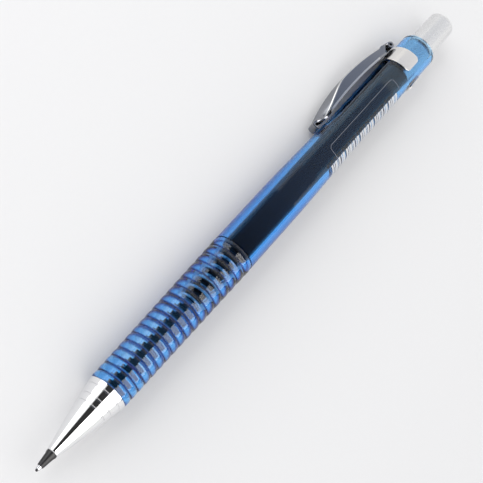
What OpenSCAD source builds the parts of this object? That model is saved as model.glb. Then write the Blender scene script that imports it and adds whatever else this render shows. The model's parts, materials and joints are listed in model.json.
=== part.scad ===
// Mechanical pencil, lying on a table with its point towards -X and leaning on its clip, on the +Y side.
// Every place along the pencil is measured from the lead's point, and x_mid centres it on the origin.

/* [Lead and tip] */
// Diameter of the lead
lead_d = 0.56; // [0.3:0.02:0.7]
// Length of the lead in use
lead_len = 58; // [45:1:59]
// Lead showing past the steel sleeve
lead_out = 0.4; // [0.2:0.1:2]
// Wall of the steel sleeve
sleeve_wall = 0.14; // [0.1:0.01:0.2]
// Steel sleeve showing past the black collar
sleeve_out = 0.8; // [0.5:0.1:3]
// Visible length of the black collar
collar_len = 3.4; // [2.5:0.1:5]
// Diameter of the collar at its front
collar_front_d = 1.34; // [1.25:0.02:1.6]
// Diameter of the collar before its flare
collar_waist_d = 2.0; // [1.8:0.05:2.2]
// Length of the flare at the collar's rear
collar_flare = 0.9; // [0.5:0.1:1.5]
// Length of the collar's spigot inside the cone
spigot_len = 2.4; // [1.5:0.1:2.6]
// Diameter of the collar's spigot
spigot_d = 1.56; // [1.4:0.02:1.6]
// Length of the rubber lead retainer
retainer_len = 2; // [1:0.1:2.4]
// Diameter of the rubber lead retainer
retainer_d = 2.2; // [1.8:0.1:2.4]

/* [Nose cone] */
// Length of the cone in view
cone_len = 16.05; // [15.5:0.05:20]
// Diameter at the cone's front
cone_front_d = 2.45; // [2.4:0.05:3]
// Diameter at the cone's rear
cone_rear_d = 9.05; // [8.8:0.05:9.6]
// How far the cone swells past a straight taper
cone_swell = 0.12; // [0:0.02:0.3]
// Width of a turned groove
groove_w = 0.36; // [0.2:0.02:0.5]
// Depth of a turned groove
groove_depth = 0.2; // [0.08:0.02:0.24]
// Diameter of the shank that screws into the barrel
shank_d = 7.4; // [7:0.1:7.8]
// Length of the shank
shank_len = 6; // [5:0.1:8]

/* [Barrel] */
// Length of the ridged grip
grip_len = 40.85; // [36:0.05:46]
// Diameter of the first ridge
grip_front_d = 9.05; // [8.9:0.05:9.5]
// Diameter of the last ridge
grip_rear_d = 10; // [9.8:0.1:10.8]
// Number of ridges
ridges = 18; // [12:1:22]
// Pitch of the last ridge over that of the first
pitch_growth = 1.3; // [1:0.05:1.6]
// Depth of the grooves between ridges
ridge_depth = 0.3; // [0.15:0.05:0.4]
// Length of the barrel behind the grip
rear_len = 72.9; // [70:0.1:80]
// Barrel diameter just behind the grip
shoulder_d = 9.8; // [9.4:0.1:10]
// Barrel diameter at the clip
barrel_d = 8.75; // [8.4:0.05:9.2]
// Where the taper starts behind the grip
taper_start = 14.5; // [8:0.5:18]
// Length of the taper
taper_len = 30; // [20:0.5:32]
// Rounding of the rear rim
rim_round = 0.6; // [0.3:0.1:0.9]
// Bore of the barrel
bore_d = 6.6; // [6.4:0.05:6.7]

/* [Chuck] */
// Diameter of the chuck's stem
stem_d = 2.6; // [2.3:0.05:2.8]
// Largest diameter of the jaws
jaw_d = 3.4; // [3.2:0.05:3.6]
// Length of the straight part of the jaws
jaw_len = 1; // [0.6:0.1:1.4]
// Width of the slits between jaws
slit_w = 0.25; // [0.15:0.05:0.35]
// Length of the slits
slit_len = 9; // [6:0.5:10]
// Length of the stem inside the feed stem
stem_grip = 6; // [4:0.5:8]
// Outer diameter of the chuck ring
ring_d = 4.4; // [4.2:0.05:4.6]
// Length of the chuck ring
ring_len = 1.9; // [1.5:0.1:2]
// How far the ring follows the jaws before the cone stops it
ring_travel = 0.7; // [0.5:0.05:0.9]
// Outer diameter of the chuck bush
bush_d = 5; // [4.9:0.05:5.3]
// Length of the chuck bush
bush_len = 5.5; // [4:0.1:6.5]
// Distance of the bush's front face ahead of the barrel
bush_ahead = 3.4; // [3:0.1:3.6]

/* [Feed] */
// Travel of the push button
press_travel = 3.5; // [2.5:0.1:3.6]
// Length of the guide sleeve behind the shank
guide_len = 18.85; // [14:0.05:22]
// Outer diameter of the feed stem
feed_d = 4; // [3.6:0.1:4.1]
// Bore that passes the lead through the feed stem
feed_bore = 1.4; // [1.1:0.1:1.8]
// Thickness of the feed stem's flange
flange_len = 1.2; // [0.8:0.1:2]
// Length of the feed stem's plug in the reservoir
plug_len = 5; // [3:0.5:8]
// Bore of the lead reservoir
tube_bore = 4.6; // [4.4:0.05:4.8]
// Distance of the reservoir's shoulder inside the barrel's rear end
tube_inset = 10.4; // [9:0.1:12]
// Diameter of the reservoir's rear neck
neck_d = 5.5; // [5.4:0.05:5.6]
// Length of the reservoir's rear neck
neck_len = 8; // [6:0.5:9]
// Number of spare leads
spares = 3; // [1:1:5]
// Play of the spare leads along the reservoir
spare_play = 2.25; // [1:0.05:4]

/* [Spring] */
// Length of the spring at rest
spring_len = 15; // [12:0.5:18]
// Diameter of the spring wire
wire_d = 0.45; // [0.35:0.05:0.5]
// Diameter of the spring at the middle of its wire
coil_d = 5.1; // [4.9:0.05:5.3]
// Number of coils
coils = 12; // [8:1:13]

/* [Button and eraser] */
// Length of button outside the barrel
button_out = 10.6; // [9:0.1:13]
// Thickness of the button's end
button_end = 2; // [1:0.1:2.4]
// Rounding of the button's end
button_round = 0.8; // [0.3:0.1:1.2]
// Relief of the button's skirt inside the barrel
skirt_relief = 0.2; // [0.17:0.01:0.22]
// Step from the skirt to the full button behind the barrel
skirt_step = 0.3; // [0.2:0.1:1]
// Diameter of the eraser
eraser_d = 3.6; // [3:0.1:3.7]
// Eraser showing past the reservoir
eraser_out = 8; // [5:0.5:8.5]
// Wall of the eraser holder
holder_wall = 0.3; // [0.2:0.05:0.35]
// Length of the holder inside the reservoir
holder_in = 5; // [3:0.5:7]
// Length of the holder outside the reservoir
holder_out = 3; // [2:0.5:4]
// Diameter of the cleaning pin
pin_d = 0.4; // [0.3:0.05:0.5]
// Length of the cleaning pin
pin_len = 16; // [10:1:20]

/* [Clip] */
// Length of the clip from its front fold's middle to its rear end
clip_len = 31.4; // [26:0.1:34]
// Height of the clip above the barrel
clip_rise = 4.15; // [3.6:0.05:4.6]
// Radius of the clip's arch
arch_r = 55; // [50:1:64]
// Width of the clip at its front
clip_front_w = 3; // [2.4:0.1:3.6]
// Width of the clip at its rear
clip_rear_w = 4.4; // [3.8:0.1:5]
// Thickness of the clip's sheet
sheet = 0.45; // [0.35:0.05:0.5]
// Clear height under the clip's flanges
under_rise = 1.7; // [1.4:0.1:2]
// Length of the lip folded under the clip's front
lip_len = 2.6; // [1.5:0.1:3.4]
// Length over which the flanges grow to their full depth
flange_ramp = 6; // [3:0.5:8]
// Width of the band
band_w = 4.8; // [4:0.1:6]
// Thickness of the band
band_t = 0.4; // [0.3:0.05:0.5]
// Opening of the band
band_gap = 64; // [30:1:90]
// Middle of the band's opening, turned from the clip
gap_turn = 217; // [190:1:235]
// Rounding of the band's ends
band_round = 1; // [0.5:0.1:1.8]

/* [Hidden] */
$fn = 96;

// Radial clearance of pressed pieces, of running pieces and of the reservoir in the barrel
press_gap = 0.01;
run_gap = 0.05;
tube_gap = 0.15;
// Axial clearance between faces that meet
face_gap = 0.05;
// Lead clearance, room round the open jaws and step between the clip's bent stretches
lead_gap = 0.03;
jaw_room = 0.15;
edge_step = 0.06;
// How far cutting tools reach past what they cut
cut = 1;

// Places along the pencil, from the lead's point
x_sleeve = lead_out;
x_collar = x_sleeve + sleeve_out;
x_cone = x_collar + collar_len;
x_grip = x_cone + cone_len;
x_grip_end = x_grip + grip_len;
x_barrel_end = x_grip_end + rear_len;
x_end = x_barrel_end + button_out;
x_mid = x_end / 2;

// Places of the nose's bores
x_pocket = x_cone + spigot_len;
x_bush = x_grip - bush_ahead;
x_bush_end = x_bush + bush_len;
x_ring = x_bush - face_gap - ring_len;
x_stop = x_ring - ring_travel - face_gap;
x_jaws = x_ring - face_gap - jaw_len;
x_chamber = x_jaws - press_travel - jaw_room;
x_shank_end = x_grip + shank_len;

// Places of the feed
x_guide_end = x_shank_end + guide_len;
x_feed = x_bush_end + press_travel + face_gap;
x_stem_end = x_feed + stem_grip;
x_seat = x_guide_end + spring_len;
x_tube = x_seat + flange_len;
x_tube_end = x_barrel_end - tube_inset;
x_neck_end = x_tube_end + neck_len;
x_button = x_tube_end + face_gap;
x_holder = x_neck_end - holder_in;

// Diameters that follow from a bore
guide_d = bore_d - 2 * press_gap;
tube_d = bore_d - 2 * tube_gap;
button_d = bore_d - 2 * run_gap;
holder_d = tube_bore - 2 * press_gap;
sleeve_d = lead_d + 2 * lead_gap + 2 * sleeve_wall;
collar_rear_d = cone_front_d - 2 * run_gap;

// Places of the clip, measured from the pencil's axis outwards
x_band = x_tube_end;
band_r = barrel_d / 2 + press_gap + band_t;
arch_top = barrel_d / 2 + clip_rise;
x_clip_end = x_band + band_w + sheet;
x_fold = x_clip_end - clip_len;
x_flange = x_fold + lip_len + sheet;
roll_x = x_band + band_w - sheet;
x_apex = (x_fold + roll_x) / 2;
// The front fold fills the height between the barrel and the arch, and the rear roll that over the band
fold_r = (arch_z(x_fold, 0) - edge_step - barrel_r(x_fold) - face_gap) / 2;
fold_z = barrel_r(x_fold) + face_gap + fold_r;
roll_r = (arch_z(roll_x, 0) - edge_step - band_r - face_gap) / 2;
roll_z = band_r + face_gap + roll_r;
// The flanges' lower edge is an arc that comes down to the band at the rear roll
under_z = barrel_d / 2 + under_rise;
under_half = roll_x - x_apex;
under_drop = under_z - band_r - face_gap;
under_r = (under_half * under_half + under_drop * under_drop) / (2 * under_drop);

// Pitches of the ridges, which grow evenly from the first to the last
first_pitch = 2 * grip_len / (ridges * (1 + pitch_growth));
pitch_step = first_pitch * (pitch_growth - 1) / (ridges - 1);

// The axis stands as high as the widest ridge
axis_z = ridge_r((ridge_x(ridges - 1) + x_grip_end) / 2);
// The clip is turned from straight up towards +Y until its outer corner leans on the table
clip_half = clip_half_w(x_apex);
clip_turn = acos((face_gap - axis_z) / norm([arch_top, clip_half])) - atan2(clip_half, arch_top);
// The clip's reach sets the axis off centre
clip_reach = arch_top * sin(clip_turn) + clip_half * abs(cos(clip_turn));
axis_y = (axis_z - clip_reach) / 2;

// Steps along curved outlines
swell_steps = 8;
ridge_steps = 6;
taper_steps = 12;
round_steps = 6;

function mix(a, b, t) = a + (b - a) * t;
function smooth(t) = t * t * (3 - 2 * t);
function limit(t) = min(1, max(0, t));

// Radius of the cone's outside
function cone_r(x) =
    let (t = (x - x_cone) / cone_len)
    mix(cone_front_d, cone_rear_d, t) / 2 + cone_swell * 4 * t * (1 - t);

// Radius of the barrel behind the grip
function barrel_r(x) =
    mix(shoulder_d, barrel_d, smooth(limit((x - x_grip_end - taper_start) / taper_len))) / 2;

// Start of ridge i, and radius over the ridges
function ridge_x(i) = x_grip + i * first_pitch + pitch_step * i * (i - 1) / 2;
function ridge_r(x) = mix(grip_front_d, grip_rear_d, (x - x_grip) / grip_len) / 2;

// Radius of the chuck's jaws, which narrow from the straight part to the stem
jaw_taper = ring_len + 2 * face_gap + jaw_room;
function jaw_r(x) = mix(jaw_d, stem_d, limit((x - x_jaws - jaw_len) / jaw_taper)) / 2;

// Top of the clip's arch, and half of the clip's width
function arch_z(x, inset) =
    arch_top - arch_r + sqrt((arch_r - inset) * (arch_r - inset) - (x - x_apex) * (x - x_apex));
function clip_half_w(x) = mix(clip_front_w, clip_rear_w, (x - x_fold) / clip_len) / 2;

// Points of an arc from one angle to another
function arc(x, y, r, from, to) = [
    for (i = [0:round_steps])
        let (a = mix(from, to, i / round_steps))
        [x + r * cos(a), y + r * sin(a)]
];
// Corner of a revolved outline, rounded outwards at its rear
function rear_round(r, x, round) = arc(r - round, x - round, round, 0, 90);

// Puts a shape whose axis is Z on the pencil's axis
module on_axis() {
    translate([-x_mid, axis_y, axis_z])
        rotate([0, 90, 0])
            children();
}

// Solid of revolution from points of radius and place
module turned(points) {
    on_axis()
        rotate_extrude()
            polygon(points);
}

// Plain tube from x0 to x1
module tube(x0, x1, outer_r, inner_r) {
    turned([[inner_r, x0], [outer_r, x0], [outer_r, x1], [inner_r, x1]]);
}

// Plain rod from x0 to x1
module rod(x0, x1, r) {
    turned([[0, x0], [r, x0], [r, x1], [0, x1]]);
}

module lead() {
    color("dimgray")
        rod(0, lead_len, lead_d / 2);
}

module spare_leads() {
    // Turn from one spare lead to the next
    spread = 26;
    r = tube_bore / 2 - lead_d / 2 - run_gap;
    x_front = x_tube + plug_len + face_gap;
    x_rear = x_holder - spare_play;
    color("dimgray")
        on_axis()
            for (i = [0:spares - 1])
                rotate([0, 0, spread * (i - (spares - 1) / 2)])
                    translate([r, 0, x_front])
                        cylinder(d = lead_d, h = x_rear - x_front);
}

module lead_sleeve() {
    color("silver")
        tube(x_sleeve, x_pocket, sleeve_d / 2, lead_d / 2 + lead_gap);
}

module tip_collar() {
    inner = sleeve_d / 2 + press_gap;
    color("black")
        turned([
            [inner, x_collar],
            [collar_front_d / 2, x_collar],
            [collar_waist_d / 2, x_cone - collar_flare],
            [collar_rear_d / 2, x_cone - collar_flare / 3],
            [collar_rear_d / 2, x_cone],
            [spigot_d / 2, x_cone],
            [spigot_d / 2, x_pocket],
            [inner, x_pocket]
        ]);
}

module lead_retainer() {
    color("maroon")
        tube(x_pocket, x_pocket + retainer_len, retainer_d / 2, lead_d / 2 + lead_gap);
}

module nose_cone() {
    spigot_r = spigot_d / 2 + press_gap;
    pocket_r = retainer_d / 2 + press_gap;
    chamber_r = jaw_d / 2 + jaw_room;
    ring_room = ring_d / 2 + run_gap;
    bush_room = bush_d / 2 + press_gap;
    outside = [
        for (i = [0:swell_steps])
            let (x = x_cone + cone_len * i / swell_steps)
            [cone_r(x), x]
    ];
    shank = [[shank_d / 2, x_grip], [shank_d / 2, x_shank_end]];
    inside = [
        [bush_room, x_shank_end], [bush_room, x_bush],
        [ring_room, x_bush], [ring_room, x_stop],
        [chamber_r, x_stop], [chamber_r, x_chamber],
        [pocket_r, x_chamber], [pocket_r, x_pocket],
        [spigot_r, x_pocket], [spigot_r, x_cone]
    ];
    // Distances of the turned grooves ahead of the grip
    grooves = [5.05, 3.45, 1.35];
    color("lightgray")
        difference() {
            turned(concat(outside, shank, inside));
            for (ahead = grooves)
                groove(x_grip - ahead);
        }
}

// Ring-shaped cut in the cone's outside
module groove(x) {
    floor_r = cone_r(x) - groove_depth;
    tube(x - groove_w / 2, x + groove_w / 2, floor_r + cut, floor_r);
}

module chuck() {
    jaw_bore = lead_d / 2 + lead_gap;
    stem_bore = feed_bore / 2;
    x_taper = x_jaws + jaw_len;
    x_stem = x_taper + jaw_taper;
    jaws = 3;
    color("goldenrod")
        difference() {
            turned([
                [jaw_bore, x_jaws], [jaw_d / 2 - jaw_room, x_jaws], [jaw_d / 2, x_jaws + jaw_room],
                [jaw_d / 2, x_taper], [stem_d / 2, x_stem], [stem_d / 2, x_stem_end],
                [stem_bore, x_stem_end], [stem_bore, x_stem], [jaw_bore, x_stem]
            ]);
            on_axis()
                for (i = [0:jaws - 1])
                    rotate([0, 0, 360 * i / jaws])
                        translate([0, -slit_w / 2, x_jaws - cut])
                            cube([jaw_d, slit_w, slit_len + cut]);
        }
}

module chuck_ring() {
    x_rear = x_ring + ring_len;
    color("darkgoldenrod")
        turned([
            [jaw_r(x_ring) + run_gap, x_ring], [ring_d / 2, x_ring],
            [ring_d / 2, x_rear], [jaw_r(x_rear) + run_gap, x_rear]
        ]);
}

module chuck_bush() {
    color("darkkhaki")
        tube(x_bush, x_bush_end, bush_d / 2, stem_d / 2 + run_gap);
}

module guide_sleeve() {
    inner = feed_d / 2 + run_gap;
    color("lightsteelblue")
        turned([
            [inner, x_bush_end], [bush_d / 2, x_bush_end], [bush_d / 2, x_shank_end],
            [guide_d / 2, x_shank_end], [guide_d / 2, x_guide_end], [inner, x_guide_end]
        ]);
}

// Spring wire: a straight end, a bend, the coils, a bend and a straight end
coil_r = coil_d / 2;
bend_r = wire_d;
bend_steps = 4;
rings_per_coil = 8;
wire_sides = 6;
coil_rise = (spring_len - 2 * face_gap - 2 * wire_d - 2 * bend_r) / coils;
coil_slope = atan2(coil_rise, 2 * PI * coil_r);
// Turn about the axis that one bend takes up
bend_turn = (bend_r / coil_r) * (1 - sin(coil_slope)) * 180 / PI;
bend_rise = bend_r * cos(coil_slope);
coils_len = spring_len - 2 * face_gap - 2 * wire_d - 2 * bend_rise;

// A wire point holds its place along the axis, its turn and its slope
function first_bend(i) =
    let (a = mix(90, coil_slope, i / bend_steps))
    [wire_d + bend_r * cos(a), (bend_r / coil_r) * (1 - sin(a)) * 180 / PI - bend_turn, a];
function coil_point(i) =
    let (t = i / (coils * rings_per_coil))
    [wire_d + bend_rise + coils_len * t, 360 * coils * t, coil_slope];
wire_half = [for (i = [0:bend_steps - 1]) first_bend(i)];
wire_coils = [for (i = [0:coils * rings_per_coil]) coil_point(i)];
wire_full = spring_len - 2 * face_gap;
wire_back = [
    for (i = [bend_steps - 1:-1:0])
        let (p = first_bend(i))
        [wire_full - p[0], 360 * coils - p[1], p[2]]
];
wire_start = [[0, wire_half[0][1], 90]];
wire_finish = [[wire_full, 360 * coils - wire_half[0][1], 90]];
wire = concat(wire_start, wire_half, wire_coils, wire_back, wire_finish);

function wire_place(p) = [coil_r * cos(p[1]), coil_r * sin(p[1]), p[0]];
function wire_ring(p) = [
    for (k = [0:wire_sides - 1])
        let (
            a = 360 * k / wire_sides,
            out = [cos(p[1]), sin(p[1]), 0],
            up = [sin(p[1]) * sin(p[2]), -cos(p[1]) * sin(p[2]), cos(p[2])]
        )
        wire_place(p) + wire_d / 2 * (cos(a) * out + sin(a) * up)
];
function ring_faces(i) = [
    for (k = [0:wire_sides - 1], half = [0, 1])
        let (
            a = i * wire_sides + k,
            b = i * wire_sides + (k + 1) % wire_sides,
            c = a + wire_sides,
            d = b + wire_sides
        )
        half == 0 ? [a, b, d] : [a, d, c]
];
function end_faces(first, flip) = [
    for (k = [1:wire_sides - 2])
        flip ? [first, first + k, first + k + 1] : [first, first + k + 1, first + k]
];

// Least gap between wire points that are half a coil or more apart
wire_gap = min([
    for (i = [0:len(wire) - 1], j = [i + 1:len(wire) - 1])
        if (abs(wire[j][1] - wire[i][1]) >= 180)
            norm(wire_place(wire[j]) - wire_place(wire[i])) - wire_d
]);

module spring() {
    points = [for (p = wire) each wire_ring(p)];
    last = len(wire) - 1;
    sides = [for (i = [0:last - 1]) each ring_faces(i)];
    faces = concat(sides, end_faces(0, false), end_faces(last * wire_sides, true));
    echo(spring_wire_gap = wire_gap);
    color("gainsboro")
        on_axis()
            translate([0, 0, x_guide_end + face_gap])
                polyhedron(points, faces);
}

module feed_stem() {
    plug_r = tube_bore / 2 - press_gap;
    funnel_r = plug_r - holder_wall;
    socket_r = stem_d / 2 + press_gap;
    color([0.1, 0.1, 0.12])
        turned([
            [socket_r, x_feed], [feed_d / 2, x_feed], [feed_d / 2, x_seat],
            [tube_d / 2, x_seat], [tube_d / 2, x_tube], [plug_r, x_tube],
            [plug_r, x_tube + plug_len], [funnel_r, x_tube + plug_len],
            [feed_bore / 2, x_tube], [feed_bore / 2, x_stem_end], [socket_r, x_stem_end]
        ]);
}

module lead_tube() {
    bore_r = tube_bore / 2;
    color([0.08, 0.08, 0.1])
        turned([
            [bore_r, x_tube], [tube_d / 2, x_tube], [tube_d / 2, x_tube_end],
            [neck_d / 2, x_tube_end], [neck_d / 2, x_neck_end], [bore_r, x_neck_end]
        ]);
}

module barrel() {
    shank_r = shank_d / 2 + run_gap;
    bore_r = bore_d / 2;
    // Each ridge is half an ellipse between two grooves
    grip = [
        for (i = [0:ridges - 1], k = [0:ridge_steps - 1])
            let (
                x0 = ridge_x(i),
                pitch = ridge_x(i + 1) - x0,
                a = 180 * k / ridge_steps,
                x = x0 + pitch * (1 - cos(a)) / 2
            )
            [ridge_r(x0 + pitch / 2) - ridge_depth * (1 - sin(a)), x]
    ];
    shoulder = [[barrel_r(x_grip_end), x_grip_end]];
    taper = [
        for (i = [0:taper_steps])
            let (x = x_grip_end + taper_start + taper_len * i / taper_steps)
            [barrel_r(x), x]
    ];
    rim = rear_round(barrel_d / 2, x_barrel_end, rim_round);
    inside = [
        [bore_r, x_barrel_end], [bore_r, x_shank_end], [shank_r, x_shank_end], [shank_r, x_grip]
    ];
    color("dodgerblue", 0.5)
        turned(concat(grip, shoulder, taper, rim, inside));
}

// Puts a shape made along X, with its outside towards Z, on the clip's side of the pencil
module on_clip_side() {
    translate([-x_mid, axis_y, axis_z])
        rotate([-clip_turn, 0, 0])
            children();
}

// Cylinder across the clip
module across(x, z, r) {
    translate([x, 0, z])
        rotate([90, 0, 0])
            cylinder(r = r, h = 3 * clip_rear_w, center = true);
}

// Clip's plan between two places, drawn in by inset, standing on the pencil's axis
module plan(x0, x1, inset) {
    linear_extrude(height = 2 * arch_top)
        polygon([
            [x0, inset - clip_half_w(x0)], [x1, inset - clip_half_w(x1)],
            [x1, clip_half_w(x1) - inset], [x0, clip_half_w(x0) - inset]
        ]);
}

// The arch as a solid, between two places, with its top lowered by inset
module arch(x0, x1, inset) {
    intersection() {
        plan(x0, x1, inset);
        across(x_apex, arch_top - arch_r, arch_r - inset);
    }
}

module clip_arm() {
    color("dimgray")
        on_clip_side()
            difference() {
                union() {
                    clip_channel();
                    clip_fold();
                    clip_roll();
                }
                // Eye of the rolled rear end
                across(roll_x, roll_z, roll_r - sheet);
            }
}

// Web of the clip with a flange along each side, except above the folded lip
module clip_channel() {
    difference() {
        arch(x_fold, roll_x, 0);
        intersection() {
            across(x_apex, arch_top - arch_r, arch_r - sheet);
            union() {
                plan(x_fold - cut, roll_x - sheet, sheet);
                plan(x_fold - 2 * cut, x_flange, -cut);
            }
        }
        across(x_apex, under_z - under_r, under_r);
        flange_slope();
    }
}

// Wedge that brings the flanges to a point behind the folded lip
module flange_slope() {
    x_full = x_flange + flange_ramp;
    top = arch_z(x_flange, sheet) - edge_step;
    full = under_z - under_r + sqrt(under_r * under_r - (x_full - x_apex) * (x_full - x_apex));
    over = cut * (top - full) / flange_ramp;
    side = [
        [x_flange - cut, top + over],
        [x_full + cut, full - over],
        [x_full + cut, 0],
        [x_flange - cut, 0]
    ];
    rotate([90, 0, 0])
        linear_extrude(height = 3 * clip_rear_w, center = true)
            polygon(side);
}

// Front of the clip, folded under, with a lip that bears on the barrel
module clip_fold() {
    intersection() {
        plan(x_fold - 2 * fold_r, x_fold + lip_len, edge_step);
        union() {
            difference() {
                across(x_fold, fold_z, fold_r);
                across(x_fold, fold_z, fold_r - sheet);
                translate([x_fold + edge_step, -clip_rear_w, 0])
                    cube([2 * fold_r, 2 * clip_rear_w, 2 * arch_top]);
            }
            translate([x_fold - edge_step, -clip_rear_w, fold_z - fold_r + edge_step / 2])
                cube([lip_len + cut, 2 * clip_rear_w, sheet]);
        }
    }
}

// Rear end of the clip, rolled over and resting on the band
module clip_roll() {
    intersection() {
        plan(roll_x - roll_r - cut, roll_x + roll_r + cut, edge_step);
        across(roll_x, roll_z, roll_r);
    }
}

module clip_band() {
    color("silver")
        difference() {
            tube(x_band, x_band + band_w, band_r, barrel_d / 2 + press_gap);
            on_clip_side()
                rotate([-gap_turn, 0, 0])
                    band_opening();
        }
}

// Opening of the band, flared so that the band's ends have round corners
module band_opening() {
    y = band_r * sin(band_gap / 2) + band_round;
    x0 = x_band + band_round;
    x1 = x_band + band_w - band_round;
    side = concat(
        [[x_band - cut, -y]],
        arc(x0, -y, band_round, 180, 90),
        arc(x1, -y, band_round, 90, 0),
        [[x_band + band_w + cut, -y]]
    );
    other_side = [for (i = [len(side) - 1:-1:0]) [side[i][0], -side[i][1]]];
    linear_extrude(height = 2 * band_r)
        polygon(concat(side, other_side));
}

module button() {
    lip_end = x_neck_end + 2 * holder_wall;
    neck_room = neck_d / 2 + run_gap;
    eraser_room = tube_bore / 2 + run_gap;
    skirt_r = button_d / 2 - skirt_relief;
    x_step = x_barrel_end + skirt_step;
    rim = rear_round(button_d / 2, x_end, button_round);
    color("gainsboro")
        turned(concat(
            [[neck_room, x_button], [skirt_r, x_button], [skirt_r, x_step], [button_d / 2, x_step]],
            rim,
            [
                [0, x_end], [0, x_end - button_end], [eraser_room, x_end - button_end],
                [eraser_room, lip_end], [neck_room, lip_end]
            ]
        ));
}

module eraser_holder() {
    inner = eraser_d / 2 + press_gap;
    lip_end = x_neck_end + holder_wall;
    floor_end = x_holder + holder_wall;
    color("darkgray")
        turned([
            [pin_d / 2 + press_gap, x_holder], [holder_d / 2, x_holder], [holder_d / 2, x_neck_end],
            [neck_d / 2, x_neck_end], [neck_d / 2, lip_end], [holder_d / 2, lip_end],
            [holder_d / 2, x_neck_end + holder_out], [inner, x_neck_end + holder_out],
            [inner, floor_end], [pin_d / 2 + press_gap, floor_end]
        ]);
}

module eraser() {
    edge = holder_wall;
    x0 = x_holder + 2 * holder_wall;
    x1 = x_neck_end + eraser_out;
    color("white")
        turned([
            [0, x0], [eraser_d / 2, x0], [eraser_d / 2, x1 - edge], [eraser_d / 2 - edge, x1], [0, x1]
        ]);
}

module cleaning_pin() {
    x_head = x_holder + holder_wall;
    color("silver")
        turned([
            [0, x_head + holder_wall], [2 * pin_d, x_head + holder_wall], [2 * pin_d, x_head],
            [pin_d / 2, x_head], [pin_d / 2, x_head - pin_len], [0, x_head - pin_len]
        ]);
}

lead();
spare_leads();
lead_sleeve();
tip_collar();
lead_retainer();
nose_cone();
chuck();
chuck_ring();
chuck_bush();
guide_sleeve();
spring();
feed_stem();
lead_tube();
barrel();
clip_arm();
clip_band();
button();
eraser();
eraser_holder();
cleaning_pin();
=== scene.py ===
"""Dresses the solids of a mechanical pencil with smooth pieces and finishes, and lights it on a pale table."""

import json
import math

import bmesh
import bpy
from bpy.props import FloatProperty, FloatVectorProperty, IntProperty, PointerProperty
from bpy.types import Operator, Panel, PropertyGroup
from mathutils import Matrix, Vector


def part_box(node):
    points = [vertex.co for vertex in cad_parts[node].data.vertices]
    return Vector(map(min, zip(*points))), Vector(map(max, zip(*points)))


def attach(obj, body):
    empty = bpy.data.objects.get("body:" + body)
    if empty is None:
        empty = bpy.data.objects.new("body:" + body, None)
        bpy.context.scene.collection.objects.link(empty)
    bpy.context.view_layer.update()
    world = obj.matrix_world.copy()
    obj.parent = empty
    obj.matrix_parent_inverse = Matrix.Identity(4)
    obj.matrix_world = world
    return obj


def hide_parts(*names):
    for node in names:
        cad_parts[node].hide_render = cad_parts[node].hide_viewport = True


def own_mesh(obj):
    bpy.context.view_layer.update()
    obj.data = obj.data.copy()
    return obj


bl_info = {
    "name": "Mechanical Pencil",
    "version": (1, 0, 0),
    "blender": (4, 5, 0),
    "location": "3D View > Sidebar > Pencil",
    "description": "Models the smooth pieces of a mechanical pencil over its solids",
    "category": "Mesh",
}

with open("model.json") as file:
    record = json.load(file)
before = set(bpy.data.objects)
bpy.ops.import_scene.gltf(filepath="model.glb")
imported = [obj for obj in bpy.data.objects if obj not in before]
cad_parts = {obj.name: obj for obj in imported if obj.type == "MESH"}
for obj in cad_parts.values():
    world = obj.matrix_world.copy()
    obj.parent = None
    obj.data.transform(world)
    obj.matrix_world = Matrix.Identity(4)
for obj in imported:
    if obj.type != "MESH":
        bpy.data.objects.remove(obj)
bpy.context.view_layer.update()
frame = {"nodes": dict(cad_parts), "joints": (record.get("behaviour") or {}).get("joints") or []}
MM = 0.001
DOUBLES = 1e-6


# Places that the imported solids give

def front(node):
    """Place of a node's front end along the pencil."""
    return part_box(node)[0][0]


def rear(node):
    """Place of a node's rear end along the pencil."""
    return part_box(node)[1][0]


def radius(node):
    """Radius of a turned node."""
    low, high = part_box(node)
    return (high[1] - low[1]) / 2


TIP = front("lead")
AXIS_Y = sum(corner[1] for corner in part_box("lead")) / 2
AXIS_Z = sum(corner[2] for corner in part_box("lead")) / 2
HINGE = next(joint for joint in frame["joints"] if joint["name"] == "clip_lift")
# Turn of the clip about the pencil, from straight up towards +Y
CLIP_TURN = math.atan2(-HINGE["axis"][2], HINGE["axis"][1])


def on_axis(x, r, turn=0.0):
    """Point at a place along the pencil, a radius and a turn from straight up towards +Y."""
    return Vector((x, AXIS_Y + r * math.sin(turn), AXIS_Z + r * math.cos(turn)))


def blend(a, b, t):
    return a + (b - a) * t


def ease(t):
    t = min(1.0, max(0.0, t))
    return t * t * (3 - 2 * t)


# Sizes and colours

def length(name, text, mm):
    """A length that is written in millimetres and kept in metres."""
    return FloatProperty(
        name=name, description=text, default=mm * MM, precision=5, unit="LENGTH", subtype="DISTANCE",
    )


def angle(name, text, degrees):
    """An angle that is written in degrees."""
    return FloatProperty(
        name=name, description=text, default=math.radians(degrees), unit="ROTATION", subtype="ANGLE",
    )


def share(name, text, value):
    """A plain number."""
    return FloatProperty(name=name, description=text, default=value, precision=3)


def colour(name, text, value):
    """A linear colour."""
    return FloatVectorProperty(name=name, description=text, default=value, min=0.0, max=1.0, subtype="COLOR")


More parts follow.
